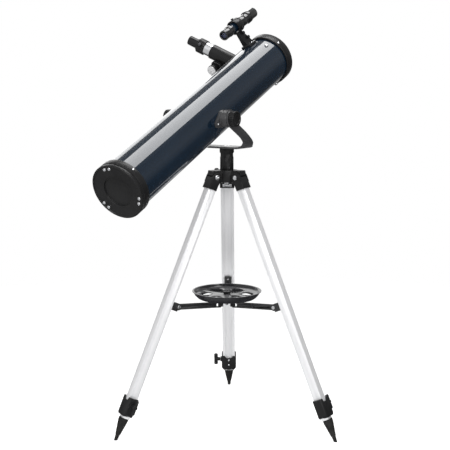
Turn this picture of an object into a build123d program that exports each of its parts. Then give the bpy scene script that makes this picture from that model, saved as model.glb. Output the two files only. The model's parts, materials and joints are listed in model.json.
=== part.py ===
from build123d import *
import math
import os

# Newtonian reflector on a yoke alt-azimuth mount with a folding aluminium tripod.
# Units are millimetres. +Z is up and +Y is the way the tube points in plan.
# The origin is on the floor, at the centre of the overall footprint.

# ---------------------------------------------------------------- driving dimensions
AZIMUTH_AXIS = (-71.0, 103.7)      # where the azimuth axis stands in plan
FIRST_LEG_ANGLE = 1.5              # plan angle of leg a from +X
LEG_LETTERS = ("a", "b", "c")

TUBE_OD = 130.0
TUBE_WALL = 1.0
TUBE_BACK = -380.0                 # rear face, measured from the altitude axis
TUBE_FRONT = 379.0                 # front face, measured from the altitude axis
ALTITUDE = 24.4                    # how far the tube is raised at rest, degrees
AXIS_SETBACK = 120.0               # altitude axis behind the azimuth axis
AXIS_HEIGHT = 836.0                # altitude axis above the floor

CAP_RADIUS = 70.0
CAP_DEPTH = 30.0
RING_RADIUS = 70.5
RING_DEPTH = 28.0

FOCUSER_T = 278.0                  # focuser axis along the tube, from the altitude axis
FOCUSER_ANGLE = 62.0               # around the tube from its top, towards -X
FOCUSER_BODY_R = 20.5
FOCUSER_BODY_TOP = 134.0           # distances below are from the tube's axis
DRAWTUBE_R = 18.0
DRAWTUBE_BORE = 16.3
PINION_R = 6.0                     # pitch radius
PINION_HEIGHT = 101.0              # shaft from the tube's axis
TOOTH_PITCH = 2.0 * math.pi * PINION_R / 12.0

FINDER_ANGLE = 18.0
FINDER_HEIGHT = 130.0              # finder axis from the tube's axis
FINDER_T = 305.0                   # bracket ring along the tube
FINDER_R = 13.6                    # tube inside the bracket ring
FINDER_RING_R = 19.8
FINDER_FOOT_AHEAD = 13.0           # foot's centre in front of the ring
FINDER_FOOT_TOP = 70.0             # from the tube's axis
FINDER_SCREW_ANGLES = (-90.0, 30.0, 150.0)
FINDER_WEB_SCREWS = ((25.0, 7.0), (42.0, 16.0))   # below the finder's axis, ahead of the ring

MIRROR_T = -335.0                  # face of the primary mirror
MIRROR_R = 57.0
SECONDARY_T = FOCUSER_T
SPIDER_T = 322.0
SPIDER_ANGLES = (-28.0, 92.0, -148.0)
COLLIMATION_ANGLES = (10.0, 130.0, 250.0)   # around the tube from its top, towards -X

YOKE_INSIDE = 87.0                 # inner face of each arm from the symmetry plane
YOKE_PLATE = 5.0
YOKE_ARM_RISE = 29.4               # slope of the arms above the horizontal, degrees
YOKE_ARM_WIDTH = 22.6
YOKE_END_R = 20.0
YOKE_CORNER = 35.0                 # inner bend radius
YOKE_BASE_Z = 753.0                # underside of the base plate
BRACKET_FACE = 71.0                # altitude bracket's outer face from the tube's axis
BRACKET_SCREW_T = 32.0             # its screws, either side of the altitude axis
KNOB_R = 19.8
KNOB_FACE = 107.5

NECK_R = 18.0
HEAD_TOP = 694.0
HEAD_BOTTOM = 652.0
HINGE_RADIUS = 39.0                # leg hinge from the azimuth axis
HINGE_HEIGHT = 676.0
FOOT_RADIUS = 331.6
LEG_TILT = math.degrees(math.atan2(FOOT_RADIUS - HINGE_RADIUS, HINGE_HEIGHT))
LEG_LENGTH = math.hypot(FOOT_RADIUS - HINGE_RADIUS, HINGE_HEIGHT)

LEG_HALF_DEPTH = 10.3
LEG_HALF_WIDTH = 17.8
LEG_FACE_HALF = 11.0
LEG_WALL = 1.6
COLLAR_TOP = 618.0                 # distances down the leg from its hinge
COLLAR_BOTTOM = 668.5
FOOT_TOP = 674.5
FOOT_R = 13.0

PIVOT_DOWN = 355.0                 # brace pivot on the leg: down the leg from the hinge
PIVOT_IN = 36.0                    # and inward from the leg's centre line
BRACKET_PLATE = 4.0
HUB_PIVOT_R = 18.0
HUB_PIVOT_Z = 328.0
BRACE_THICK = 3.0
BRACE_HALF = 8.0

TRAY_R = 94.0
TRAY_RIM_Z = 365.5
TRAY_FLOOR_Z = 354.0               # underside of the tray's floor
TRAY_FLOOR = 2.5
TRAY_HOLE_R = 16.2
TRAY_HOLE_CIRCLE_R = 55.5
HUB_PLATE_Z = 343.0                # top of the brace hub's plate

EYEPIECE_SCREW_ANGLE = -52.0       # about the focuser's axis, from across the tube

FIT = 0.05                         # radial clearance of a running fit

# ---------------------------------------------------------------- helpers
Z_TO_Y = Rot(-90, 0, 0)            # turns a lathed shape's Z axis to the tube's axis
TO_AZIMUTH = Pos(AZIMUTH_AXIS[0], AZIMUTH_AXIS[1], 0)
TO_TUBE = TO_AZIMUTH * Pos(0, -AXIS_SETBACK, AXIS_HEIGHT) * Rot(ALTITUDE, 0, 0)


def lathe(points):
    """Turn a closed outline of (radius, z) points about Z."""
    outline = Polyline([(r, 0, z) for r, z in points], close=True)
    return revolve(make_face(outline), Axis.Z)


def cylinder(radius, z0, z1):
    return Pos(0, 0, (z0 + z1) / 2) * Cylinder(radius, z1 - z0)


def ring(outer, inner, z0, z1):
    return cylinder(outer, z0, z1) - cylinder(inner, z0 - 1, z1 + 1)


def block(x0, x1, y0, y1, z0, z1):
    centre = Pos((x0 + x1) / 2, (y0 + y1) / 2, (z0 + z1) / 2)
    return centre * Box(x1 - x0, y1 - y0, z1 - z0)


def along_y(shape, t=0.0):
    """Lay a shape made along Z on the tube's axis, with its z = 0 at t."""
    return Pos(0, t, 0) * Z_TO_Y * shape


def around(angle):
    """Frame on the tube: local Z points outward at an angle from the tube's top."""
    return Rot(0, -angle, 0)


def hexagon(flats, z0, z1):
    return extrude(Pos(0, 0, z0) * RegularPolygon(flats / 2, 6, major_radius=False), z1 - z0)


def dome_screw(radius, height, shank, length):
    """Pan-head screw: the head's underside is at z = 0 and any shank runs down."""
    head = lathe([(0, 0), (radius, 0), (radius, height * 0.45), (radius * 0.72, height * 0.85), (0, height)])
    slot = Pos(0, 0, height) * Box(radius * 1.5, radius * 0.28, height * 0.7)
    cross = Pos(0, 0, height) * Box(radius * 0.28, radius * 1.5, height * 0.7)
    head -= slot + cross
    return head + cylinder(shank, -length, 0.01) if length else head


def knurled(radius, z0, z1, count, depth):
    """Grip ring with round flutes cut along it."""
    body = cylinder(radius, z0, z1)
    body = chamfer(body.edges().filter_by(GeomType.CIRCLE), min(1.0, (z1 - z0) / 6))
    flute = cylinder(depth * 1.6, z0 - 1, z1 + 1)
    flutes = [Rot(0, 0, 360 * i / count) * Pos(radius + depth * 0.75, 0, 0) * flute for i in range(count)]
    return body - flutes


parts = {}


def keep(name, shape, place=None):
    """Store a sub-part under its node name, as a compound of its separate solids."""
    placed = place * shape if place is not None else shape
    solids = placed.solids()
    parts[name] = solids[0] if len(solids) == 1 else Compound(children=list(solids))


# ---------------------------------------------------------------- optical tube
def make_tube():
    wall = ring(TUBE_OD / 2, TUBE_OD / 2 - TUBE_WALL, TUBE_BACK + 8, TUBE_FRONT - 8)
    tube = along_y(wall)
    tube -= around(FOCUSER_ANGLE) * Pos(0, FOCUSER_T, 40) * cylinder(19.2, 0, 50)
    keep("main_tube", tube, TO_TUBE)


def make_front_ring():
    seat = TUBE_OD / 2
    t0, t1 = TUBE_FRONT - RING_DEPTH, TUBE_FRONT
    shape = lathe([
        (seat, t0), (RING_RADIUS - 1.5, t0), (RING_RADIUS, t0 + 1.5), (RING_RADIUS, t1 - 3),
        (RING_RADIUS - 2, t1), (61.5, t1), (61.5, t1 - 8), (seat, t1 - 8),
    ])
    keep("front_ring", along_y(shape), TO_TUBE)


def make_rear_cap():
    """Rear end cap: ribbed skirt, raised rim and a flat face with a recessed centre."""
    back = TUBE_BACK
    front = TUBE_BACK + CAP_DEPTH
    seat = TUBE_OD / 2
    shape = lathe([
        (0, back + 6), (37, back + 6), (38, back + 2), (64.6, back + 2), (65.6, back), (68.5, back),
        (CAP_RADIUS, back + 1.5), (CAP_RADIUS, back + 6.5), (68.2, back + 7.3), (68.2, back + 9.7),
        (CAP_RADIUS, back + 10.5), (CAP_RADIUS, front - 1), (CAP_RADIUS - 1, front), (seat, front),
        (seat, back + 8), (61, back + 8), (61, back + 9), (0, back + 9),
    ])
    for angle in COLLIMATION_ANGLES:
        for side in (-1, 1):
            shape -= collimation_place(angle + side * 7) * cylinder(3.0, back - 1, back + 12)
    keep("rear_cap", along_y(shape), TO_TUBE)


def collimation_place(angle):
    """Frame of one adjusting screw, before the lathe axis is laid along the tube."""
    turned = math.radians(angle)
    return Pos(-60 * math.sin(turned), -60 * math.cos(turned), 0)


def make_collimation_screws():
    """Three push-pull pairs that hold and tilt the mirror cell, each pair with one spring."""
    back = TUBE_BACK
    cell_back = MIRROR_T - 24
    group = []
    for angle in COLLIMATION_ANGLES:
        for side in (-1, 1):
            head = dome_screw(4.2, 3.0, 2.6, cell_back - back)
            screw = Pos(0, 0, back + 2) * Rot(180, 0, 0) * head
            group.append(collimation_place(angle + side * 7) * screw)
        group.append(Pos(*spring_centre(angle), 0) * spring(3.6, 1.0, back + 9.3, cell_back - 0.3, 4))
    keep("collimation_screws", along_y(Compound(children=group)), TO_TUBE)


def spring_centre(angle):
    turned = math.radians(angle)
    return -50 * math.sin(turned), -50 * math.cos(turned)


def spring(radius, wire, z0, z1, turns):
    """Compression spring drawn as its closed rings, so that each turn is a clean torus."""
    step = (z1 - z0 - 2 * wire) / (turns - 1)
    coils = [Pos(0, 0, z0 + wire + i * step) * Torus(radius, wire * 0.98) for i in range(turns)]
    post = ring(radius + wire * 0.6, radius - wire * 0.6, z0, z1)
    return coils[0].fuse(*coils[1:], post)


def make_mirror():
    """Primary mirror: a glass disc with a concave front, on a three-clip cell."""
    focal = 780.0
    sag = MIRROR_R ** 2 / (4 * focal)
    steps = 6
    curve = [(MIRROR_R * i / steps, MIRROR_T - sag + (MIRROR_R * i / steps) ** 2 / (4 * focal))
             for i in range(1, steps + 1)]
    glass = lathe([(0, MIRROR_T - 14), (MIRROR_R, MIRROR_T - 14)] + curve[::-1] + [(0, MIRROR_T - sag)])
    keep("primary_mirror", along_y(glass), TO_TUBE)

    plate = ring(61.0, 20, MIRROR_T - 24, MIRROR_T - 14.2)
    plate += ring(61.0, MIRROR_R + 0.4, MIRROR_T - 14.5, MIRROR_T - 5)
    for angle in COLLIMATION_ANGLES:
        for side in (-1, 1):
            plate -= collimation_place(angle + side * 7) * cylinder(2.65, MIRROR_T - 30, MIRROR_T - 10)
        turned = math.radians(angle + 60)
        foot = block(MIRROR_R - 5, 60.5, -5, 5, MIRROR_T + 0.3, MIRROR_T + 1.8)
        foot += block(MIRROR_R + 0.6, 60.5, -5, 5, MIRROR_T - 6, MIRROR_T + 1)
        plate += Rot(0, 0, -90 - angle - 60) * foot
    keep("mirror_cell", along_y(plate), TO_TUBE)


def make_secondary():
    """Flat elliptical secondary on its holder, carried by a three-vane spider."""
    minor = 14.0
    tilt = Rot(0, -FOCUSER_ANGLE, 0) * Pos(0, SECONDARY_T, 0) * Rot(45, 0, 0)
    disc = extrude(Ellipse(minor, minor * math.sqrt(2)), 4)
    keep("secondary_mirror", tilt * Pos(0, 0, -4) * disc, TO_TUBE)

    stem = along_y(cylinder(13.0, SECONDARY_T - 30, SECONDARY_T + 26))
    cutter = tilt * block(-60, 60, -80, 80, -4.2, 80)
    holder = stem - cutter
    holder += along_y(cylinder(5, SECONDARY_T + 25, SPIDER_T - 3.2))
    keep("secondary_holder", holder, TO_TUBE)

    hub = along_y(cylinder(9, SPIDER_T - 3, SPIDER_T + 7))
    for angle in SPIDER_ANGLES:
        vane = block(-0.5, 0.5, -2.5, 6.5, 8, 60.5)
        stud = cylinder(2, 60, TUBE_OD / 2 - TUBE_WALL - 0.15)
        hub += around(angle) * Pos(0, SPIDER_T, 0) * (vane + Pos(0, 2, 0) * stud)
    keep("spider", hub, TO_TUBE)


def make_tube_screws():
    """Bright screws and nuts on the outside of the tube, its cap, ring and brackets."""
    group = []
    nut = lathe([(0, 0), (5.0, 0), (5.0, 1.8), (3.4, 4.0), (0, 4.8)])
    for angle in SPIDER_ANGLES:
        group.append(around(angle) * Pos(0, SPIDER_T + 2, TUBE_OD / 2 + 0.05) * nut)
    screw = lathe([(0, 0), (3.4, 0), (3.2, 1.2), (1.8, 2.3), (0, 2.5)])
    for angle in (-43.6, 76.4, 196.4):
        group.append(around(angle) * Pos(0, 358.5, RING_RADIUS + 0.02) * screw)
        group.append(around(angle) * Pos(0, TUBE_BACK + 22.5, CAP_RADIUS + 0.02) * screw)
    for side in (-1, 1):
        for t in (-BRACKET_SCREW_T, BRACKET_SCREW_T):
            group.append(around(-90 * side) * Pos(0, t, BRACKET_FACE) * screw)
    for side in (-1, 1):
        place = around(FINDER_ANGLE) * Pos(side * 12.3, FINDER_T + FINDER_FOOT_AHEAD, FINDER_FOOT_TOP)
        group.append(place * Pos(0, 0, 0.05) * screw)
    keep("tube_screws", Compound(children=group), TO_TUBE)


# ---------------------------------------------------------------- altitude bearings
def make_altitude_brackets():
    """Oval saddle plate and bearing boss on each side of the tube, with its threaded stud."""
    outline = Circle(22.0)
    for end in (-1, 1):
        outline += Pos(0, end * BRACKET_SCREW_T) * Circle(9.0)
    plate = Pos(0, 0, 50) * extrude(make_hull(outline.edges()), BRACKET_FACE - 50)
    group = []
    for side in (-1, 1):
        boss = cylinder(21.5, 60, YOKE_INSIDE - 0.6)
        boss = chamfer(boss.edges().group_by(Axis.Z)[-1], 1.5)
        stud = cylinder(4.0, 70, KNOB_FACE - 5)
        bracket = around(-90 * side) * (plate + boss + stud)
        group.append(bracket - along_y(cylinder(TUBE_OD / 2 + 0.05, -60, 60)))
    keep("altitude_brackets", Compound(children=group), TO_TUBE)


def make_altitude_knobs():
    """Clamping knobs on the studs outside the yoke arms."""
    outside = YOKE_INSIDE + YOKE_PLATE
    washer = cylinder(15, outside + 0.3, outside + 2.3)
    grip = knurled(KNOB_R, outside + 2.2, KNOB_FACE, 20, 0.9)
    dish = lathe([(0, KNOB_FACE - 1.2), (13.5, KNOB_FACE - 1.2), (14.5, KNOB_FACE + 1), (0, KNOB_FACE + 1)])
    knob = grip + washer - dish - cylinder(4.0 + FIT, outside - 1, KNOB_FACE - 4.9)
    keep("altitude_knob_right", around(-90) * knob, TO_TUBE)
    keep("altitude_knob_left", around(90) * knob, TO_TUBE)


# ---------------------------------------------------------------- focuser
def focuser_place():
    """Frame with Z along the focuser axis, Y along the tube and X across."""
    return TO_TUBE * around(FOCUSER_ANGLE) * Pos(0, FOCUSER_T, 0)


def rack_tooth_outline(tip, root, half_tip, half_root):
    return [(root, -half_root), (tip, -half_tip), (tip, half_tip), (root, half_root)]


def make_focuser_body():
    seat = TUBE_OD / 2
    barrel = cylinder(FOCUSER_BODY_R, 58, FOCUSER_BODY_TOP)
    barrel = chamfer(barrel.edges().group_by(Axis.Z)[-1], 1.2)
    flange = block(-21, 21, -128, 52, 50, 71)
    shell = along_y(ring(seat + 3.0, seat + 0.05, -128, 52))
    saddle = fillet(flange.edges().filter_by(Axis.Z), 10) & shell
    housing_x = -(DRAWTUBE_R + PINION_R)
    housing = block(housing_x - 9, -8, -30, 30, 84, 114)
    housing = fillet(housing.edges().filter_by(Axis.Y), 6)
    neck = block(housing_x - 4, -8, -16, 16, 64, 90)
    body = barrel + neck - along_y(cylinder(seat + 0.05, -60, 60)) + housing + saddle
    body -= cylinder(DRAWTUBE_R + FIT, 40, FOCUSER_BODY_TOP + 1)
    shaft = Pos(housing_x, 0, PINION_HEIGHT)
    body -= shaft * Z_TO_Y * cylinder(3.0 + FIT, -40, 40)
    body -= shaft * Z_TO_Y * cylinder(PINION_R + 2.0, -10, 10)
    body -= block(housing_x, -10, -5, 5, PINION_HEIGHT - 9, PINION_HEIGHT + 9)
    body -= block(-DRAWTUBE_R - 1, -10, -4.5, 4.5, 50, FOCUSER_BODY_TOP + 1)
    keep("focuser_body", body, focuser_place())


def make_drawtube():
    """Chromed drawtube with a toothed rack let into its side."""
    bottom, top = 56.0, 153.0
    tube = ring(DRAWTUBE_R, DRAWTUBE_BORE, bottom, top)
    root = -DRAWTUBE_R + 0.8
    tube -= block(-DRAWTUBE_R - 1, root, -4.5, 4.5, 62, 124)
    rack = block(root - 0.01, root + 0.6, -4, 4, 63, 123)
    for i in range(-11, 6):
        z = PINION_HEIGHT + (i + 0.5) * TOOTH_PITCH
        tooth = Polyline([(-DRAWTUBE_R - 0.6, 0, z - 0.35), (root + 0.1, 0, z - 0.65),
                          (root + 0.1, 0, z + 0.65), (-DRAWTUBE_R - 0.6, 0, z + 0.35)], close=True)
        rack += extrude(make_face(tooth), 3.5, both=True)
    keep("drawtube", tube + rack, focuser_place())


def make_focus_shaft():
    """Pinion shaft with its toothed pinion and a bright disc at each end."""
    shaft = cylinder(3.0, -36, 36)
    for side in (-1, 1):
        shaft += cylinder(12.6, *sorted((side * 47.2, side * 49.0)))
        shaft += cylinder(3.0, *sorted((side * 35, side * 48)))
    core = cylinder(PINION_R - 1.2, -3.5, 3.5)
    for i in range(12):
        tooth = Polyline([(4.4, -0.75, -3.5), (PINION_R + 0.55, -0.32, -3.5),
                          (PINION_R + 0.55, 0.32, -3.5), (4.4, 0.75, -3.5)], close=True)
        core += Rot(0, 0, 30 * i) * extrude(make_face(tooth), 7)
    shaft += core
    housing_x = -(DRAWTUBE_R + PINION_R)
    place = focuser_place() * Pos(housing_x, 0, PINION_HEIGHT) * Z_TO_Y
    keep("focus_shaft", shaft, place)

    grips = []
    for side in (-1, 1):
        z0, z1 = sorted((side * 33.0, side * 48.0))
        grip = knurled(13.6, z0, z1, 24, 0.6)
        grip -= cylinder(12.7, *sorted((side * 47.1, side * 50)))
        grip -= cylinder(3.02, z0 - 1, z1 + 1)
        grips.append(grip)
    keep("focus_knobs", Compound(children=grips), place)


def make_eyepiece():
    """Eyepiece holder, its clamping screw, and the eyepiece with its eye lens."""
    holder = knurled(20.7, 153.2, 176, 24, 0.5)
    holder += cylinder(16.5, 175, 179.5)
    holder -= cylinder(14.05, 150, 185)
    screw_spot = Pos(0, 0, 165) * Rot(0, 0, EYEPIECE_SCREW_ANGLE) * Rot(0, 90, 0)
    holder -= screw_spot * cylinder(2.05, 10, 24)
    keep("eyepiece_holder", holder, focuser_place())

    thumb = cylinder(2.0, 14.3, 22) + knurled(4.4, 21.6, 30, 12, 0.4)
    keep("eyepiece_screw", screw_spot * thumb, focuser_place())

    barrel = lathe([(14.0, 152), (14.0, 180), (13.2, 181), (13.2, 205.5), (12.2, 207.5),
                    (9, 207.5), (7.5, 203), (7.5, 199), (12.6, 196), (12.6, 152)])
    keep("eyepiece", barrel, focuser_place())
    lens = lathe([(0, 199.4), (7.4, 199.4), (7.4, 202), (5, 202.7), (0, 203)])
    keep("eyepiece_lens", lens, focuser_place())


# ---------------------------------------------------------------- finder
def finder_place():
    """Frame with Z along the finder's axis, parallel to the tube, and Y away from it."""
    return TO_TUBE * around(FINDER_ANGLE) * Pos(0, FINDER_T, FINDER_HEIGHT) * Z_TO_Y


def make_finder():
    """Small refractor: a stepped eyepiece, the tube, and an objective cell with its hood."""
    body = lathe([
        (9.5, -66), (13.4, -66), (13.4, -43), (12.6, -42), (14.6, -41), (14.6, -29), (FINDER_R, -28),
        (FINDER_R, 14), (15.2, 15), (15.2, 39), (14.0, 40), (14.0, 56), (17.0, 57), (17.0, 68),
        (14.6, 70), (14.6, 98), (13.4, 98), (13.4, 66), (11.6, 64), (11.6, -40), (9.5, -60),
    ])
    keep("finder_tube", body, finder_place())

    objective = lathe([(0, 66.2), (13.2, 66.2), (13.2, 69), (7, 70.8), (0, 71.4)])
    eye = lathe([(0, -59), (9.3, -59), (9.3, -62), (4, -63), (0, -63.3)])
    keep("finder_lenses", Compound(children=[objective, eye]), finder_place())


def finder_web_half(below):
    """Half the web's thickness at a distance below the finder's axis."""
    return 4.0 + 4.2 * (below - 17.5) / (FINDER_HEIGHT - FINDER_FOOT_TOP - 15.5)


def make_finder_bracket():
    """Ring on a tall web that leans forward to a curved foot on the tube."""
    drop = FINDER_HEIGHT
    foot_y = drop - FINDER_FOOT_TOP
    collar = ring(FINDER_RING_R, 16.4, -13, 13)
    top = Plane.XZ.offset(-17.5) * Rectangle(2 * finder_web_half(17.5), 20)
    bottom = Plane.XZ.offset(-foot_y - 2) * Pos(0, FINDER_FOOT_AHEAD)
    bottom *= Rectangle(2 * finder_web_half(foot_y + 2), 32)
    plate = loft([top.face(), bottom.face()])
    foot = block(-17, 17, foot_y, drop - 55, FINDER_FOOT_AHEAD - 16.5, FINDER_FOOT_AHEAD + 16.5)
    foot = fillet(foot.edges().filter_by(Axis.Y), 4)
    foot -= Pos(0, drop, 0) * cylinder(TUBE_OD / 2 + 0.05, -60, 60)
    frame = collar + plate + foot
    for angle in FINDER_SCREW_ANGLES:
        frame -= Rot(0, 0, angle) * Rot(0, 90, 0) * cylinder(1.8 + FIT, 12, 26)
    for y, z in FINDER_WEB_SCREWS:
        frame -= Pos(0, y, z) * Rot(0, 90, 0) * cylinder(1.8 + FIT, 0, 20)
    keep("finder_bracket", frame, finder_place())


def make_finder_screws():
    """Three thumbscrews that aim the finder inside its ring, and two in the web's side."""
    group = []
    for angle in FINDER_SCREW_ANGLES:
        thumb = cylinder(1.8, FINDER_R + 0.05, 21) + knurled(3.8, 20.1, 23.2, 12, 0.3)
        group.append(Rot(0, 0, angle) * Rot(0, 90, 0) * thumb)
    for y, z in FINDER_WEB_SCREWS:
        face = finder_web_half(y) + 0.8
        thumb = cylinder(1.8, 0.5, face + 1) + knurled(4.4, face, face + 5.5, 12, 0.3)
        group.append(Pos(0, y, z) * Rot(0, 90, 0) * thumb)
    keep("finder_screws", Compound(children=group), finder_place())


# ---------------------------------------------------------------- yoke and azimuth bearing
def yoke_side_outline():
    """The bar seen from the side, as (y, z): a wide foot, a waist, and an arm that leans back."""
    rise = math.radians(YOKE_ARM_RISE)
    back = (-math.cos(rise), math.sin(rise))
    over = (math.sin(rise), math.cos(rise))
    hub = (-AXIS_SETBACK, AXIS_HEIGHT)
    low = (hub[0] - YOKE_END_R * over[0], hub[1] - YOKE_END_R * over[1])
    high = (low[0] + YOKE_ARM_WIDTH * over[0], low[1] + YOKE_ARM_WIDTH * over[1])
    rear_joint = (low[0] - 71.5 * back[0], low[1] - 71.5 * back[1])
    front_joint = (high[0] - 75.0 * back[0], high[1] - 75.0 * back[1])
    base = YOKE_BASE_Z
    rear = [(-38, base), (-41, base + 10), (-49, base + 19), rear_joint, low]
    front = [high, front_joint, (-29, base + 32.5), (-15, base + 24), (-4, base + 17), (2, base + 11.5),
             (9, base + 7), (19, base + 3.5), (22, base)]
    return rear + front


def make_yoke():
    """One bent bar: a base across the azimuth axis and two arms that lean back."""
    outer = YOKE_INSIDE + YOKE_PLATE
    top = AXIS_HEIGHT + YOKE_END_R + 5
    section = RectangleRounded(2 * outer, 2 * (top - YOKE_BASE_Z), YOKE_CORNER + YOKE_PLATE)
    inner = RectangleRounded(2 * YOKE_INSIDE, 2 * (top - YOKE_BASE_Z - YOKE_PLATE), YOKE_CORNER)
    channel = Plane.XZ * Pos(0, top, 0) * (section - inner)
    bar = extrude(channel, 220, both=True)
    bar &= block(-outer - 1, outer + 1, -220, 220, YOKE_BASE_Z - 1, top)

    side_view = Polyline([(0, y, z) for y, z in yoke_side_outline()], close=True)
    profile = extrude(make_face(side_view), outer + 5, both=True)
    hub_place = Pos(0, -AXIS_SETBACK, AXIS_HEIGHT) * Rot(0, 90, 0)
    profile += hub_place * Cylinder(YOKE_END_R, 2 * outer + 10)
    bar &= profile
    bar -= hub_place * Cylinder(4.0 + FIT, 2 * outer + 10)
    bar -= cylinder(5.0 + FIT, YOKE_BASE_Z - 1, YOKE_BASE_Z + YOKE_PLATE + 1)
    bar -= countersink(0.05)
    keep("yoke", bar, TO_AZIMUTH)


def countersink(gap):
    """Cone of the base's flat-headed bolt, grown by a gap."""
    top = YOKE_BASE_Z + YOKE_PLATE
    return lathe([(0, top - 3.6), (5.0 + gap, top - 3.6), (8.2 + gap, top - 0.2), (8.2 + gap, top), (0, top)])


def make_neck():
    """Turning neck under the yoke, with its spindle in the tripod head."""
    top = YOKE_BASE_Z
    neck = lathe([
        (0, HEAD_TOP + 0.4), (NECK_R, HEAD_TOP + 0.4), (NECK_R, 728), (NECK_R - 1, 730),
        (NECK_R - 1, 738), (NECK_R + 1.2, 741), (NECK_R + 1.2, top - 1), (NECK_R, top), (0, top),
    ])
    neck += cylinder(10.0, 664, HEAD_TOP + 1)
    for angle in (0, 60, 120, 180, 240, 300):
        pocket = Rot(0, 0, angle + 20) * block(NECK_R - 1.6, NECK_R + 2, -3.2, 3.2, 702, 724)
        neck -= pocket
    boss = Rot(0, 0, -72) * Pos(0, 0, 715) * Rot(0, 90, 0) * cylinder(6.0, 10, NECK_R + 1.4)
    neck += boss
    neck -= cylinder(4.0, HEAD_BOTTOM, top + 1)
    keep("azimuth_neck", neck, TO_AZIMUTH)

    plate_top = YOKE_BASE_Z + YOKE_PLATE
    upper = countersink(0) + cylinder(3.9, plate_top - 40, plate_top - 3)
    upper -= hexagon(5, plate_top - 2.5, plate_top + 1)
    lower = cylinder(15.0, 659, 661) + hexagon(13, 653, 659.2) + cylinder(3.9, 658, 700)
    keep("azimuth_bolts", Compound(children=[upper, lower]), TO_AZIMUTH)


def make_azimuth_lock():
    """Screw that bears on the spindle and locks the azimuth."""
    screw = cylinder(2.5, 10.4, 28.5) + knurled(8.0, 28.2, 36, 10, 0.7)
    place = TO_AZIMUTH * Pos(0, 0, 689.0) * Rot(0, 0, FIRST_LEG_ANGLE + 180) * Rot(0, 90, 0)
    keep("azimuth_lock_knob", screw, place)


# ---------------------------------------------------------------- tripod head
def leg_spin(index):
    return TO_AZIMUTH * Rot(0, 0, FIRST_LEG_ANGLE + 120 * index)


def make_head():
    """Cast head: a bored hub with one slotted tongue for each leg hinge."""
    head = cylinder(27.0, HEAD_BOTTOM + 10, HEAD_TOP)
    for index in range(3):
        spin = Rot(0, 0, FIRST_LEG_ANGLE + 120 * index)
        outline = Polyline([
            (10, 0, 664), (30, 0, 664), (HINGE_RADIUS, 0, 667), (45, 0, 669.5), (47.6, 0, 675),
            (47.8, 0, 678.8), (51.5, 0, 682), (48.5, 0, HEAD_TOP), (10, 0, HEAD_TOP),
        ], close=True)
        head += spin * extrude(make_face(outline), 14.0, both=True)
    head = fillet(head.edges().group_by(Axis.Z)[-1].filter_by(GeomType.LINE), 1.5)
    for index in range(3):
        spin = Rot(0, 0, FIRST_LEG_ANGLE + 120 * index)
        pin = Pos(HINGE_RADIUS, 0, HINGE_HEIGHT) * Rot(90, 0, 0) * Cylinder(3.0 + FIT, 60)
        head -= spin * pin
    head -= cylinder(10.0 + FIT, HEAD_BOTTOM, HEAD_TOP + 1)
    head -= cylinder(15.6, HEAD_BOTTOM, 663)
    lock = Pos(0, 0, 689.0) * Rot(0, 0, FIRST_LEG_ANGLE + 180) * Rot(0, 90, 0)
    head -= lock * cylinder(2.5 + FIT, 5, 40)
    keep("tripod_head", head, TO_AZIMUTH)


# ---------------------------------------------------------------- legs
def leg_place(index):
    """Leg frame: origin at the hinge, Z up along the leg, X outward, Y across."""
    return leg_spin(index) * Pos(HINGE_RADIUS, 0, HINGE_HEIGHT) * Rot(0, -LEG_TILT, 0)


def leg_outline(inset):
    """Six-sided leg section, with every face moved in by inset."""
    face = Polyline([
        (LEG_HALF_DEPTH, -LEG_FACE_HALF, 0), (LEG_HALF_DEPTH, LEG_FACE_HALF, 0),
        (-1.4, LEG_HALF_WIDTH, 0), (-LEG_HALF_DEPTH, LEG_HALF_WIDTH, 0),
        (-LEG_HALF_DEPTH, -LEG_HALF_WIDTH, 0), (-1.4, -LEG_HALF_WIDTH, 0),
    ], close=True)
    outline = make_face(face)
    if inset:
        outline = offset(outline, amount=-inset, kind=Kind.INTERSECTION)
    return outline


def leg_prism(inset, down0, down1):
    return Pos(0, 0, -down1) * extrude(leg_outline(inset), down1 - down0)


def make_upper_leg():
    """Aluminium channel, open along its inner face."""
    shell = leg_prism(0, 16, 650) - leg_prism(LEG_WALL, 10, 660)
    shell -= block(-LEG_HALF_DEPTH - 1, -LEG_HALF_DEPTH + LEG_WALL + 1, -10, 10, -660, -10)
    return shell


def make_inner_leg():
    """Sliding leg inside the channel."""
    inset = LEG_WALL + 0.3
    return leg_prism(inset, 36, FOOT_TOP) - leg_prism(inset + 1.4, 30, 700)


def make_leg_cap():
    """Plastic cap over the top of the channel, with two cheeks on the hinge bolt."""
    cap = block(-12.4, 12.4, -19.8, 19.8, -34, -13.5)
    cap = fillet(cap.edges().filter_by(Axis.Z), 3)
    wall = block(9.4, 12.4, -17, 17, -16, -3)
    cap += wall
    for side in (-1, 1):
        y0, y1 = sorted((side * 14.5, side * 19.8))
        cheek = Pos(0, (y0 + y1) / 2, 0) * Rot(90, 0, 0) * Cylinder(12.4, y1 - y0)
        cheek += block(-12.4, 12.4, y0, y1, -17, 0)
        cap += cheek
    cap -= leg_prism(0, 16, 40)
    cap -= Rot(90, 0, 0) * Cylinder(3.0 + FIT, 60)
    return cap


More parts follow.
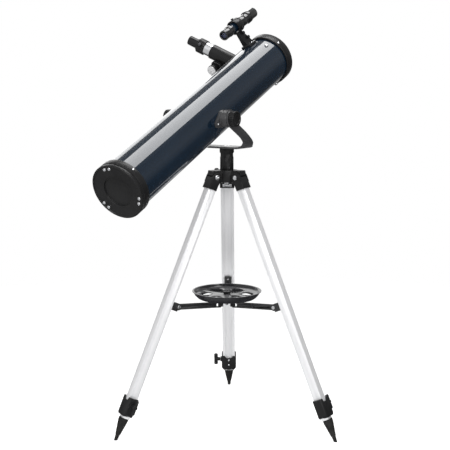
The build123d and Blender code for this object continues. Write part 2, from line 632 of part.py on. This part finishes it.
def make_collar():
    """Clamp collar round the foot of the channel, notched at its top edge."""
    half_x, half_y = 13.0, 21.5
    collar = block(-half_x, half_x, -half_y, half_y, -COLLAR_BOTTOM, -COLLAR_TOP)
    collar = fillet(collar.edges().filter_by(Axis.Z), 3)
    corner = Polyline([(0, half_y + 1, -COLLAR_BOTTOM + 9), (0, half_y + 1, -COLLAR_BOTTOM - 1),
                       (0, half_y - 7, -COLLAR_BOTTOM - 1)], close=True)
    wedge = extrude(make_face(corner), 20, both=True)
    collar -= wedge
    collar -= mirror(wedge, Plane.XZ)
    notch = Polyline([(0, -12, -COLLAR_TOP + 1), (0, 12, -COLLAR_TOP + 1), (0, 7, -COLLAR_TOP - 9),
                      (0, -7, -COLLAR_TOP - 9)], close=True)
    collar -= extrude(make_face(notch), 20, both=True)
    boss = Pos(0, 0, -637) * Rot(-90, 0, 0) * cylinder(7.5, 18, 26)
    collar += boss
    collar -= leg_prism(0, COLLAR_TOP - 1, 650)
    collar -= leg_prism(LEG_WALL - 0.1, 640, COLLAR_BOTTOM + 1)
    collar -= Pos(0, 0, -637) * Rot(-90, 0, 0) * cylinder(2.5 + FIT, 12, 30)
    return collar


def make_wing_screw():
    """Clamping screw with a two-lobed wing."""
    hub = cylinder(2.5, LEG_HALF_WIDTH + 0.4, 30) + cylinder(5.5, 27, 42)
    wing = block(-19.5, 19.5, -2.4, 2.4, 33.5, 44.5)
    wing = fillet(wing.edges().filter_by(Axis.Y), 4)
    return Pos(0, 0, -637) * Rot(-90, 0, 0) * Rot(0, 0, 90) * (hub + wing)


def make_foot():
    """Plug in the sliding leg, ending in a round rubber point with a step near its tip."""
    cone = lathe([(0, -LEG_LENGTH - 6), (3.6, -LEG_LENGTH - 6), (4.4, -LEG_LENGTH + 3),
                  (5.6, -LEG_LENGTH + 16), (6.5, -LEG_LENGTH + 16), (FOOT_R, -FOOT_TOP - 8),
                  (FOOT_R, -FOOT_TOP), (0, -FOOT_TOP)])
    return cone + leg_prism(LEG_WALL + 1.8, 655, FOOT_TOP + 0.1)


def make_bracket():
    """Riveted bracket that carries the brace arm between two ears."""
    plate = block(-LEG_HALF_DEPTH - BRACKET_PLATE, -LEG_HALF_DEPTH, -9.5, 9.5, -386, -326)
    plate = fillet(plate.edges().filter_by(Axis.X), 4)
    for side in (-1, 1):
        y0, y1 = sorted((side * 1.8, side * 4.3))
        ear = block(-PIVOT_IN, -LEG_HALF_DEPTH - 1, y0, y1, -PIVOT_DOWN - 13, -PIVOT_DOWN + 9)
        ear += Pos(-PIVOT_IN, (y0 + y1) / 2, -PIVOT_DOWN) * Rot(90, 0, 0) * Cylinder(9, y1 - y0)
        plate += ear
    plate -= Pos(-PIVOT_IN, 0, -PIVOT_DOWN) * Rot(90, 0, 0) * Cylinder(2.5 + FIT, 30)
    return plate


def make_leg_screws():
    """Bright fasteners of one leg: hinge bolt, plate, collar screws and pivot screw."""
    bolt = cylinder(3.0, -19.9, 25.0) + hexagon(11, -24, -19.85) + cylinder(6.5, 19.85, 21)
    bolt += lathe([(0, 20.5), (4.6, 20.5), (4.6, 23), (3, 25.5), (0, 26)])
    group = [Rot(-90, 0, 0) * bolt]
    plate = block(-14.0, -12.4, -12, 12, -31.5, -21)
    for side in (-1, 1):
        plate += Pos(-14, side * 8, -26) * Rot(0, -90, 0) * dome_screw(2.2, 1.4, 1.2, 0.5)
    group.append(plate)
    for down in (632, 650):
        group.append(Pos(-13, 0, -down) * Rot(0, -90, 0) * dome_screw(2.8, 2.0, 1.2, 0))
    rivet = lathe([(0, 0), (3.0, 0), (2.6, 1.2), (0, 1.9)])
    for down in (334, 378):
        group.append(Pos(-LEG_HALF_DEPTH - BRACKET_PLATE, 0, -down) * Rot(0, -90, 0) * rivet)
    pivot = cylinder(2.5, -4.5, 4.5)
    for side in (-1, 1):
        pivot += cylinder(4.6, *sorted((side * 4.35, side * 6.6)))
    group.append(Pos(-PIVOT_IN, 0, -PIVOT_DOWN) * Rot(90, 0, 0) * pivot)
    return Compound(children=group)


def make_legs():
    floor_cut = block(-600, 600, -600, 600, -60, 0)
    builders = {
        "upper_leg": make_upper_leg, "inner_leg": make_inner_leg, "leg_cap": make_leg_cap,
        "leg_collar": make_collar, "wing_screw": make_wing_screw, "brace_bracket": make_bracket,
        "leg_screws": make_leg_screws,
    }
    for index, letter in enumerate(LEG_LETTERS):
        for name, build in builders.items():
            keep(f"{name}_{letter}", build(), leg_place(index))
        foot = leg_place(index) * make_foot()
        keep(f"foot_{letter}", foot - floor_cut)


# ---------------------------------------------------------------- brace and tray
def pivot_point():
    """Brace pivot on a leg, as (radius, height)."""
    tilt = math.radians(LEG_TILT)
    radius = HINGE_RADIUS + PIVOT_DOWN * math.sin(tilt) - PIVOT_IN * math.cos(tilt)
    height = HINGE_HEIGHT - PIVOT_DOWN * math.cos(tilt) - PIVOT_IN * math.sin(tilt)
    return radius, height


def make_brace():
    """Three flat arms from the legs to a hub under the tray.

    An arm has a slot at the hub, so that it can slide on its pin as the legs close.
    """
    radius, height = pivot_point()
    run, rise = radius - HUB_PIVOT_R, height - HUB_PIVOT_Z
    length = math.hypot(run, rise)
    slope = math.degrees(math.atan2(rise, run))
    slot_end = 14.2
    bar = block(0, length, -BRACE_THICK / 2, BRACE_THICK / 2, -BRACE_HALF, BRACE_HALF)
    bar += Pos(length, 0, 0) * Rot(90, 0, 0) * Cylinder(BRACE_HALF, BRACE_THICK)
    bar += Pos(1.1, 0, 0) * Rot(90, 0, 0) * Cylinder(6.5, BRACE_THICK)
    slot = block(-3.0, slot_end, -5, 5, -4.0, 4.0)
    slot = fillet(slot.edges().filter_by(Axis.Y), 3.5)
    bar -= slot
    bar -= Pos(length, 0, 0) * Rot(90, 0, 0) * Cylinder(2.5 + FIT, 20)
    for index, letter in enumerate(LEG_LETTERS):
        place = leg_spin(index) * Pos(HUB_PIVOT_R, 0, HUB_PIVOT_Z) * Rot(0, -slope, 0)
        keep(f"brace_arm_{letter}", bar, place)

    hub = cylinder(30.0, HUB_PLATE_Z - 3, HUB_PLATE_Z) + cylinder(12.0, HUB_PLATE_Z - 1, TRAY_FLOOR_Z)
    for index in range(3):
        spin = Rot(0, 0, FIRST_LEG_ANGLE + 120 * index)
        for side in (-1, 1):
            y0, y1 = sorted((side * 1.8, side * 3.8))
            ear = block(HUB_PIVOT_R - 5, HUB_PIVOT_R + 7, y0, y1, HUB_PIVOT_Z - 5, HUB_PLATE_Z - 2)
            hub += spin * ear
        pin = Pos(HUB_PIVOT_R, 0, HUB_PIVOT_Z) * Rot(90, 0, 0) * Cylinder(2.0, 12)
        hub += spin * pin
    hub -= cylinder(3.0 + FIT, HUB_PLATE_Z - 4, TRAY_FLOOR_Z + 1)
    keep("brace_hub", hub, TO_AZIMUTH)


def make_tray():
    """Round accessory tray: a shallow dish on a skirt, with six holes that hold eyepieces."""
    floor = TRAY_FLOOR_Z
    tray = lathe([
        (0, floor), (72.5, floor), (72.5, floor - 7), (76, floor - 8.5), (80, floor - 6), (87, floor + 1),
        (91.5, TRAY_RIM_Z - 1.5), (TRAY_R, TRAY_RIM_Z - 1.5), (TRAY_R, TRAY_RIM_Z), (89.5, TRAY_RIM_Z),
        (84, floor + 5), (80, floor + TRAY_FLOOR), (0, floor + TRAY_FLOOR),
    ])
    tray += cylinder(13.0, floor + 1, floor + 3.2)
    for i in range(6):
        angle = FIRST_LEG_ANGLE + 30 + 60 * i
        hole = cylinder(TRAY_HOLE_R, floor - 1, floor + 9)
        tray -= Rot(0, 0, angle) * Pos(TRAY_HOLE_CIRCLE_R, 0, 0) * hole
    tray -= cylinder(3.0 + FIT, floor - 1, floor + 6)
    keep("tray", tray, TO_AZIMUTH)

    knob = cylinder(3.0, floor - 12, floor + 5) + knurled(9.2, floor + 3.3, floor + 9, 14, 0.7)
    keep("tray_knob", knob, TO_AZIMUTH)


def main():
    make_tube()
    make_front_ring()
    make_rear_cap()
    make_collimation_screws()
    make_mirror()
    make_secondary()
    make_tube_screws()
    make_altitude_brackets()
    make_altitude_knobs()
    make_focuser_body()
    make_drawtube()
    make_focus_shaft()
    make_eyepiece()
    make_finder()
    make_finder_bracket()
    make_finder_screws()
    make_yoke()
    make_neck()
    make_azimuth_lock()
    make_head()
    make_legs()
    make_brace()
    make_tray()
    os.makedirs("parts", exist_ok=True)
    for name, shape in parts.items():
        export_step(shape, f"parts/{name}.step")
    everything = Compound(children=[s for shape in parts.values() for s in shape.solids()])
    box = everything.bounding_box()
    print("nodes", len(parts))
    print("box", box.min, box.max, "centre", box.center())


main()
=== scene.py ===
import json
import math
import bpy
from mathutils import Matrix, Vector

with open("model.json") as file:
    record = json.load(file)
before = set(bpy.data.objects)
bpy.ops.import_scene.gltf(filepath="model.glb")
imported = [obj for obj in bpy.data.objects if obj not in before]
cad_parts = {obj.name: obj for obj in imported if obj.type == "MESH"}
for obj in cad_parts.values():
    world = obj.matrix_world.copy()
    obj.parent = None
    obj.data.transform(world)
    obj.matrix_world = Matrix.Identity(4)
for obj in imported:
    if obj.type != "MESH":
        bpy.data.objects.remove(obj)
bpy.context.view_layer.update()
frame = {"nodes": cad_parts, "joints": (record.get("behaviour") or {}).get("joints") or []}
nodes = frame["nodes"]
joints = {joint["name"]: joint for joint in frame["joints"]}

LEGS = ("a", "b", "c")
FINDER_ANGLE = -18.0               # round the tube from its top, in degrees
FINDER_HEIGHT = 0.130              # from the tube's axis
FINDER_AHEAD = 0.305               # from the altitude axis
FINDER_BLUE = (-0.0285, 0.0145)    # stretch of the finder that is blue, from its ring
SPLIT_ANGLE = math.radians(35)     # edges sharper than this stay sharp
POLISHED = ("main_tube", "drawtube", "eyepiece", "primary_mirror", "secondary_mirror")
PIVOT = Vector(joints["altitude"]["pos_m"])
TUBE_AXIS = Vector(joints["focus_shaft_turn"]["axis"])
TUBE_UP = Vector((0, -TUBE_AXIS.z, TUBE_AXIS.y))


# ---------------------------------------------------------------- shader helpers
class Shader:
    """Builds one Principled material, node by node."""

    def __init__(self, name, **constants):
        self.material = bpy.data.materials.new(name)
        self.material.use_nodes = True
        self.tree = self.material.node_tree
        self.bsdf = self.tree.nodes["Principled BSDF"]
        for socket, value in constants.items():
            self.bsdf.inputs[socket.replace("_", " ")].default_value = value
        coordinates = self.tree.nodes.new("ShaderNodeTexCoord")
        self.place = coordinates.outputs["Object"]

    def node(self, kind, inputs=None, **settings):
        made = self.tree.nodes.new(kind)
        for key, value in settings.items():
            setattr(made, key, value)
        for key, value in (inputs or {}).items():
            if isinstance(value, bpy.types.NodeSocket):
                self.tree.links.new(value, made.inputs[key])
            else:
                made.inputs[key].default_value = value
        return made

    def turned(self, origin, axis, scale=(1, 1, 1)):
        """Coordinates with their origin at a point and Z along an axis."""
        spin = Vector(axis).to_track_quat("Z", "Y").to_matrix().inverted()
        shift = self.node("ShaderNodeVectorMath", {0: self.place, 1: Vector(origin)}, operation="SUBTRACT")
        mapping = self.node("ShaderNodeMapping", {"Vector": shift.outputs[0]}, vector_type="POINT")
        mapping.inputs["Rotation"].default_value = spin.to_euler()
        scaled = self.node(
            "ShaderNodeVectorMath", {0: mapping.outputs[0], 1: Vector(scale)}, operation="MULTIPLY")
        return scaled.outputs[0]

    def noise(self, scale, detail=3.0, roughness=0.5, place=None):
        inputs = {"Vector": place or self.place, "Scale": scale, "Detail": detail, "Roughness": roughness}
        return self.node("ShaderNodeTexNoise", inputs).outputs["Fac"]

    def span(self, value, low, high, start=0.3, end=0.7):
        """Carry a 0 to 1 value over to the range low to high."""
        inputs = {"Value": value, "From Min": start, "From Max": end, "To Min": low, "To Max": high}
        return self.node("ShaderNodeMapRange", inputs).outputs[0]

    def blend(self, factor, first, second):
        mix = self.node("ShaderNodeMix", data_type="RGBA")
        self.tree.links.new(factor, mix.inputs["Factor"])
        for socket, colour in ((6, first), (7, second)):
            if isinstance(colour, bpy.types.NodeSocket):
                self.tree.links.new(colour, mix.inputs[socket])
            else:
                mix.inputs[socket].default_value = (*colour, 1)
        return mix.outputs[2]

    def feed(self, socket, value):
        self.tree.links.new(value, self.bsdf.inputs[socket])

    def bump(self, *layers):
        """Stack height layers, each (height, strength, distance in metres)."""
        normal = None
        for height, strength, distance in layers:
            inputs = {"Height": height, "Strength": strength, "Distance": distance}
            made = self.node("ShaderNodeBump", inputs)
            if normal is not None:
                self.tree.links.new(normal, made.inputs["Normal"])
            normal = made.outputs[0]
        self.feed("Normal", normal)

    def lightened_edges(self, colour, pale, radius=0.0006):
        """Lighten the colour where the surface turns sharply."""
        # the colour is made lighter along sharp edges, broken up by noise
        soft = self.node("ShaderNodeBevel", {"Radius": radius}, samples=4).outputs[0]
        sharp = self.node("ShaderNodeNewGeometry").outputs["Normal"]
        along = self.node("ShaderNodeVectorMath", {0: soft, 1: sharp}, operation="DOT_PRODUCT")
        edge = self.span(along.outputs["Value"], 1.0, 0.0, 0.80, 0.99)
        broken = self.node("ShaderNodeMath", {0: edge, 1: self.noise(90, 5, 0.7)}, operation="MULTIPLY")
        return self.blend(broken.outputs[0], colour, pale)


def enamel(name, dark, light, ends=None):
    """Deep glossy paint with a fine metallic fleck under a clear coat.

    Beyond the ends, given as (origin, axis, low, high) in metres, the paint is black.
    """
    s = Shader(name, Coat_Weight=1.0, Coat_Roughness=0.005, Coat_IOR=1.6, Specular_IOR_Level=0.06)
    fleck = s.node("ShaderNodeTexVoronoi", {"Vector": s.place, "Scale": 2600.0}, feature="F1")
    cell = s.node("ShaderNodeSeparateColor", {"Color": fleck.outputs["Color"]}).outputs[0]
    drift = s.blend(s.span(s.noise(5, 2), 0, 1), dark, light)
    sparkle = s.blend(s.span(cell, 0, 0.55, 0.72, 1.0), drift, tuple(min(1, 2.2 * v) for v in light))
    if ends:
        origin, axis, low, high = ends
        along = s.node("ShaderNodeSeparateXYZ", {0: s.turned(origin, axis)}).outputs["Z"]
        behind = s.node("ShaderNodeMath", {0: along, 1: low}, operation="LESS_THAN").outputs[0]
        beyond = s.node("ShaderNodeMath", {0: along, 1: high}, operation="GREATER_THAN").outputs[0]
        outside = s.node("ShaderNodeMath", {0: behind, 1: beyond}, operation="ADD").outputs[0]
        sparkle = s.blend(outside, sparkle, (0.008, 0.008, 0.009))
    s.feed("Base Color", sparkle)
    s.feed("Roughness", s.span(s.noise(14, 4), 0.34, 0.46))
    return s.material


def moulded(name, colour, roughness, grain=1700, depth=0.12, pale=(0.10, 0.10, 0.105)):
    """Moulded plastic: fine grain, faint flow marks and slightly lighter edges."""
    s = Shader(name, Specular_IOR_Level=0.30)
    flow = s.blend(s.span(s.noise(18, 4), 0, 1), colour, tuple(1.35 * v for v in colour))
    s.feed("Base Color", s.lightened_edges(flow, pale))
    s.feed("Roughness", s.span(s.noise(40, 5, 0.6), roughness - 0.06, roughness + 0.09))
    s.bump((s.noise(grain, 2), depth, 0.0002), (s.noise(30, 2), 0.05, 0.0006))
    return s.material


def powder_coat(name, colour, roughness):
    """Painted steel with a fine pebbled skin."""
    s = Shader(name, Specular_IOR_Level=0.6)
    drift = s.blend(s.span(s.noise(25, 3), 0, 1), colour, tuple(1.3 * v for v in colour))
    s.feed("Base Color", s.lightened_edges(drift, (0.16, 0.16, 0.17), 0.0005))
    s.feed("Roughness", s.span(s.noise(60, 4), roughness - 0.05, roughness + 0.08))
    s.bump((s.noise(1200, 3), 0.16, 0.0002), (s.noise(220, 2), 0.05, 0.0003))
    return s.material


def drawn_aluminium(name, origin, axis):
    """Anodised extrusion: die lines along the section and faint handling marks."""
    s = Shader(name, Metallic=0.35, Anisotropic=0.35)
    lines = s.noise(1.0, 4, 0.6, s.turned(origin, axis, (950, 950, 5)))
    broad = s.noise(1.0, 3, 0.5, s.turned(origin, axis, (120, 120, 1.6)))
    s.feed("Base Color", s.blend(s.span(broad, 0, 1), (0.78, 0.785, 0.80), (0.87, 0.87, 0.88)))
    handled = s.span(s.noise(11, 4), 0, 0.06)
    rough = s.node("ShaderNodeMath", {0: s.span(lines, 0.27, 0.39), 1: handled}, operation="ADD")
    s.feed("Roughness", rough.outputs[0])
    s.bump((lines, 0.10, 0.0002))
    return s.material


def turned_metal(name, origin, axis, colour, roughness, rings):
    """Lathe-turned metal with fine rings round its axis."""
    s = Shader(name, Metallic=0.6)
    around = s.turned(origin, axis)
    wave = s.node("ShaderNodeTexWave", {
        "Vector": around, "Scale": rings, "Distortion": 0.6, "Detail": 3.0, "Detail Scale": 2.0,
    }, wave_type="RINGS", rings_direction="Z").outputs["Fac"]
    s.feed("Base Color", s.blend(s.span(wave, 0, 1), tuple(0.86 * v for v in colour), colour))
    s.feed("Roughness", s.span(s.noise(60, 4), roughness, roughness + 0.10))
    s.bump((wave, 0.12, 0.0002))
    return s.material


def plating(name, colour=(0.86, 0.87, 0.89), roughness=0.06):
    """Bright plating with light smears and pits."""
    s = Shader(name, Metallic=1.0)
    s.feed("Base Color", s.blend(s.span(s.noise(35, 5), 0, 1), tuple(0.92 * v for v in colour), colour))
    s.feed("Roughness", s.span(s.noise(70, 6, 0.65), roughness, roughness + 0.12))
    s.bump((s.noise(500, 2), 0.03, 0.0002))
    return s.material


def rubber(name):
    s = Shader(name, Specular_IOR_Level=0.25)
    s.feed("Base Color", s.blend(s.span(s.noise(70, 5), 0, 1), (0.007, 0.007, 0.007), (0.020, 0.019, 0.018)))
    s.feed("Roughness", s.span(s.noise(120, 4), 0.55, 0.75))
    s.bump((s.noise(900, 3), 0.3, 0.0003))
    return s.material


def lens_glass(name, tint):
    """Coated lens: clear, with the coating's colour in its reflection."""
    s = Shader(name, Transmission_Weight=1.0, IOR=1.52, Coat_Weight=0.6, Coat_Roughness=0.02,
               Coat_Tint=(*tint, 1.0))
    s.feed("Base Color", s.blend(s.span(s.noise(60, 3), 0, 1), (0.86, 0.93, 0.95), (0.92, 0.97, 0.98)))
    s.feed("Roughness", s.span(s.noise(130, 4), 0.0, 0.03))
    return s.material


def mirror_glass(name):
    """Front-surface mirror with a faint bloom of dust."""
    s = Shader(name, Metallic=1.0)
    dust = s.span(s.noise(900, 5, 0.7), 0, 0.5, 0.62, 0.75)
    s.feed("Base Color", s.blend(dust, (0.93, 0.94, 0.95), (0.62, 0.62, 0.60)))
    s.feed("Roughness", s.span(s.noise(40, 3), 0.01, 0.05))
    return s.material


# ---------------------------------------------------------------- edges of the CAD nodes
def soften(obj, width=0.0005):
    """Round the sharp edges a little and shade the curved faces smoothly."""
    for face in obj.data.polygons:
        face.use_smooth = True
    weld = obj.modifiers.new("weld", "WELD")
    weld.merge_threshold = 0.000005
    if obj.name in POLISHED:
        split = obj.modifiers.new("split", "EDGE_SPLIT")
        split.split_angle = SPLIT_ANGLE
        return
    bevel = obj.modifiers.new("bevel", "BEVEL")
    bevel.width = width
    bevel.segments = 2
    bevel.limit_method = "ANGLE"
    bevel.angle_limit = SPLIT_ANGLE
    bevel.harden_normals = True
    bevel.use_clamp_overlap = True
    obj.data.update()


def dress(material, *names):
    for name in names:
        obj = nodes[name]
        obj.data.materials.clear()
        obj.data.materials.append(material)


def make_materials():
    black = (0.008, 0.008, 0.0085)
    navy = ((0.0024, 0.0090, 0.0195), (0.0038, 0.0130, 0.0270))
    dress(enamel("navy_enamel", *navy), "main_tube")
    finder_ring, _ = around_tube(-FINDER_ANGLE, FINDER_HEIGHT, FINDER_AHEAD)
    dress(enamel("finder_enamel", *navy, ends=(finder_ring, TUBE_AXIS, *FINDER_BLUE)), "finder_tube")
    dress(moulded("cap_plastic", black, 0.36), "rear_cap", "front_ring", "mirror_cell", "secondary_holder")
    dress(moulded("knob_plastic", black, 0.22, 1300, 0.10),
          "altitude_knob_right", "altitude_knob_left", "azimuth_lock_knob", "tray_knob",
          "focus_knobs", "eyepiece_holder", "finder_screws")
    dress(moulded("focuser_plastic", black, 0.27, 2200, 0.08), "focuser_body", "finder_bracket")
    dress(moulded("eyepiece_plastic", (0.010, 0.010, 0.011), 0.12, 2600, 0.05), "eyepiece")
    dress(moulded("mount_plastic", (0.009, 0.009, 0.0095), 0.40, 1100, 0.20),
          "azimuth_neck", "tripod_head", "brace_hub")
    dress(powder_coat("coated_steel", (0.034, 0.034, 0.036), 0.34), "yoke", "altitude_brackets", "spider")
    dress(powder_coat("tray_coat", (0.014, 0.014, 0.016), 0.11), "tray")
    dress(plating("chrome_plate"), "drawtube", "tube_screws", "collimation_screws", "azimuth_bolts")
    dress(plating("black_chrome", (0.10, 0.10, 0.11), 0.12), "eyepiece_screw")
    dress(mirror_glass("front_mirror"), "primary_mirror", "secondary_mirror")
    dress(lens_glass("eye_glass", (0.55, 0.42, 0.95)), "eyepiece_lens")
    dress(lens_glass("finder_glass", (0.55, 0.62, 0.95)), "finder_lenses")
    shaft = joints["focus_shaft_turn"]
    dress(turned_metal("turned_disc", shaft["pos_m"], shaft["axis"], (0.92, 0.92, 0.93), 0.34, 320.0),
          "focus_shaft")
    plastic = moulded("leg_plastic", (0.008, 0.008, 0.0085), 0.38, 1500, 0.16)
    steel = powder_coat("brace_coat", (0.018, 0.018, 0.019), 0.30)
    bright = plating("leg_fasteners", (0.80, 0.81, 0.83), 0.12)
    sole = rubber("foot_rubber")
    for letter in LEGS:
        slide = joints[f"leg_extend_{letter}"]
        hinge = joints[f"leg_fold_{letter}"]
        metal = drawn_aluminium(f"leg_aluminium_{letter}", hinge["pos_m"], slide["axis"])
        dress(metal, f"upper_leg_{letter}", f"inner_leg_{letter}")
        dress(plastic, f"leg_cap_{letter}", f"leg_collar_{letter}", f"wing_screw_{letter}")
        dress(steel, f"brace_arm_{letter}", f"brace_bracket_{letter}")
        dress(bright, f"leg_screws_{letter}")
        dress(sole, f"foot_{letter}")
    for obj in nodes.values():
        soften(obj)


# ---------------------------------------------------------------- stage, light and camera
CAMERA_PLACE = Vector((1.4335, -2.2327, 0.9598))
CAMERA_VIEW = Vector((-0.5369, 0.8306, -0.1477))
CAMERA_LENS = 83.6
FRONT_GLOW = 0.5                   # extra light from the camera's side of the studio


def emitter(name, centre, facing, size, strength, gradient=None):
    """A bright card that only shows in reflections."""
    bpy.ops.mesh.primitive_plane_add(size=1)
    card = bpy.context.object
    card.name = name
    look = (Vector(facing) - Vector(centre)).normalized()
    across = TUBE_AXIS.cross(look).normalized()
    along = look.cross(across)
    turn = Matrix((across, along, look)).transposed().to_4x4()
    card.matrix_world = Matrix.Translation(centre) @ turn @ Matrix.Diagonal((*size, 1, 1))
    material = bpy.data.materials.new(name)
    material.use_nodes = True
    tree = material.node_tree
    tree.nodes.clear()
    light = tree.nodes.new("ShaderNodeEmission")
    light.inputs["Strength"].default_value = strength
    if gradient:
        place = tree.nodes.new("ShaderNodeTexCoord")
        split = tree.nodes.new("ShaderNodeSeparateXYZ")
        fade = tree.nodes.new("ShaderNodeMapRange")
        fade.inputs["To Min"].default_value, fade.inputs["To Max"].default_value = gradient
        tree.links.new(place.outputs["Generated"], split.inputs[0])
        tree.links.new(split.outputs["X"], fade.inputs["Value"])
        tree.links.new(fade.outputs[0], light.inputs["Strength"])
    output = tree.nodes.new("ShaderNodeOutputMaterial")
    tree.links.new(light.outputs[0], output.inputs["Surface"])
    card.data.materials.append(material)
    card.visible_camera = False
    card.visible_diffuse = False
    card.visible_shadow = False
    return card


def around_tube(angle, distance, ahead):
    """A point at an angle round the tube from its top, towards -X."""
    turned = math.radians(angle)
    out = math.cos(turned) * TUBE_UP - math.sin(turned) * Vector((1, 0, 0))
    return PIVOT + out * distance + TUBE_AXIS * ahead, PIVOT + TUBE_AXIS * ahead


def area_light(name, place, target, size, power, glossy):
    light = bpy.data.lights.new(name, "AREA")
    light.shape = "RECTANGLE"
    light.size, light.size_y = size
    light.energy = power
    obj = bpy.data.objects.new(name, light)
    bpy.context.scene.collection.objects.link(obj)
    obj.location = place
    obj.rotation_euler = (Vector(target) - Vector(place)).to_track_quat("-Z", "Y").to_euler()
    obj.visible_glossy = glossy
    obj.visible_camera = False
    return obj


def make_floor():
    bpy.ops.mesh.primitive_plane_add(size=14, location=(0, 0, 0))
    floor = bpy.context.object
    floor.name = "floor"
    s = Shader("floor_paper", Specular_IOR_Level=0.1, Emission_Color=(1, 1, 1, 1), Emission_Strength=0.6)
    s.feed("Base Color", s.blend(s.span(s.noise(3, 3), 0, 1), (0.93, 0.93, 0.93), (0.95, 0.95, 0.95)))
    s.feed("Roughness", s.span(s.noise(30, 3), 0.85, 0.95))
    away = s.node("ShaderNodeVectorMath", {0: s.place}, operation="LENGTH").outputs["Value"]
    s.feed("Alpha", s.span(away, 1.0, 0.0, 0.7, 2.2))
    floor.data.materials.append(s.material)
    floor.visible_glossy = False


def make_world():
    """White behind the object for the camera, and a soft studio for reflections and light."""
    world = bpy.data.worlds.new("studio")
    bpy.context.scene.world = world
    world.use_nodes = True
    tree = world.node_tree
    tree.nodes.clear()
    output = tree.nodes.new("ShaderNodeOutputWorld")
    place = tree.nodes.new("ShaderNodeTexCoord")
    split = tree.nodes.new("ShaderNodeSeparateXYZ")
    tree.links.new(place.outputs["Generated"], split.inputs[0])
    ramp = tree.nodes.new("ShaderNodeValToRGB")
    height = tree.nodes.new("ShaderNodeMapRange")
    height.inputs["From Min"].default_value = -1
    height.inputs["From Max"].default_value = 1
    tree.links.new(split.outputs["Z"], height.inputs["Value"])
    tree.links.new(height.outputs[0], ramp.inputs["Fac"])
    stops = ((0.0, 0.06), (0.40, 0.06), (0.5, 0.09), (0.56, 0.20), (0.68, 0.34), (0.80, 0.30),
             (0.88, 0.22), (1.0, 0.20))
    ramp.color_ramp.elements[0].position = stops[0][0]
    ramp.color_ramp.elements[1].position = stops[-1][0]
    for position, value in stops[1:-1]:
        ramp.color_ramp.elements.new(position)
    for element, (position, value) in zip(ramp.color_ramp.elements, stops):
        element.color = (value, value, value, 1)
    studio = tree.nodes.new("ShaderNodeBackground")
    studio.inputs["Color"].default_value = (1, 1, 1, 1)
    front = tree.nodes.new("ShaderNodeMapRange")
    front.inputs["From Min"].default_value = 0.1
    front.inputs["From Max"].default_value = -0.5
    front.inputs["To Min"].default_value = 0.0
    front.inputs["To Max"].default_value = FRONT_GLOW
    tree.links.new(split.outputs["Y"], front.inputs["Value"])
    total = tree.nodes.new("ShaderNodeMath")
    tree.links.new(ramp.outputs[0], total.inputs[0])
    tree.links.new(front.outputs[0], total.inputs[1])
    tree.links.new(total.outputs[0], studio.inputs["Strength"])
    paper = tree.nodes.new("ShaderNodeBackground")
    paper.inputs["Color"].default_value = (1, 1, 1, 1)
    path = tree.nodes.new("ShaderNodeLightPath")
    mix = tree.nodes.new("ShaderNodeMixShader")
    tree.links.new(path.outputs["Is Camera Ray"], mix.inputs[0])
    tree.links.new(studio.outputs[0], mix.inputs[1])
    tree.links.new(paper.outputs[0], mix.inputs[2])
    tree.links.new(mix.outputs[0], output.inputs["Surface"])


def make_lights():
    """Three cards that the tube reflects, and four lamps aimed at the middle of the object."""
    cards = (
        ("card_top", (-0.5, 1.5, 1.8), (1.56, 1.85), 5.5, None),
        ("card_side", (100.7, 1.6, 2.1), (2.62, 2.4), 3.0, (3.0, 0.7)),
        ("card_low", (158, 1.6, 1.85), (1.04, 1.75), 0.6, (0.6, 0.2)),
    )
    for name, spot, size, strength, gradient in cards:
        centre, facing = around_tube(*spot)
        emitter(name, centre, facing, size, strength, gradient)
    lamps = (
        ("key", (1.2, -2.4, 2.4), (1.4, 1.4), 34, True),
        ("side", (2.6, -0.9, 1.5), (0.9, 1.4), 15, True),
        ("fill", (-2.4, -1.6, 1.4), (1.8, 1.8), 6, False),
        ("top", (0.2, 0.6, 3.2), (2.4, 2.4), 26, False),
    )
    middle = Vector((0, 0, 0.6))
    for name, place, size, power, glossy in lamps:
        area_light(name, place, middle, size, power, glossy)


def make_camera():
    data = bpy.data.cameras.new("camera")
    data.lens = CAMERA_LENS
    data.sensor_width = 36.0
    camera = bpy.data.objects.new("camera", data)
    bpy.context.scene.collection.objects.link(camera)
    camera.location = CAMERA_PLACE
    camera.rotation_euler = CAMERA_VIEW.to_track_quat("-Z", "Y").to_euler()
    bpy.context.scene.camera = camera


make_camera()
make_materials()
make_floor()
make_world()
make_lights()
bpy.context.scene.view_settings.view_transform = "Standard"
bpy.context.view_layer.update()
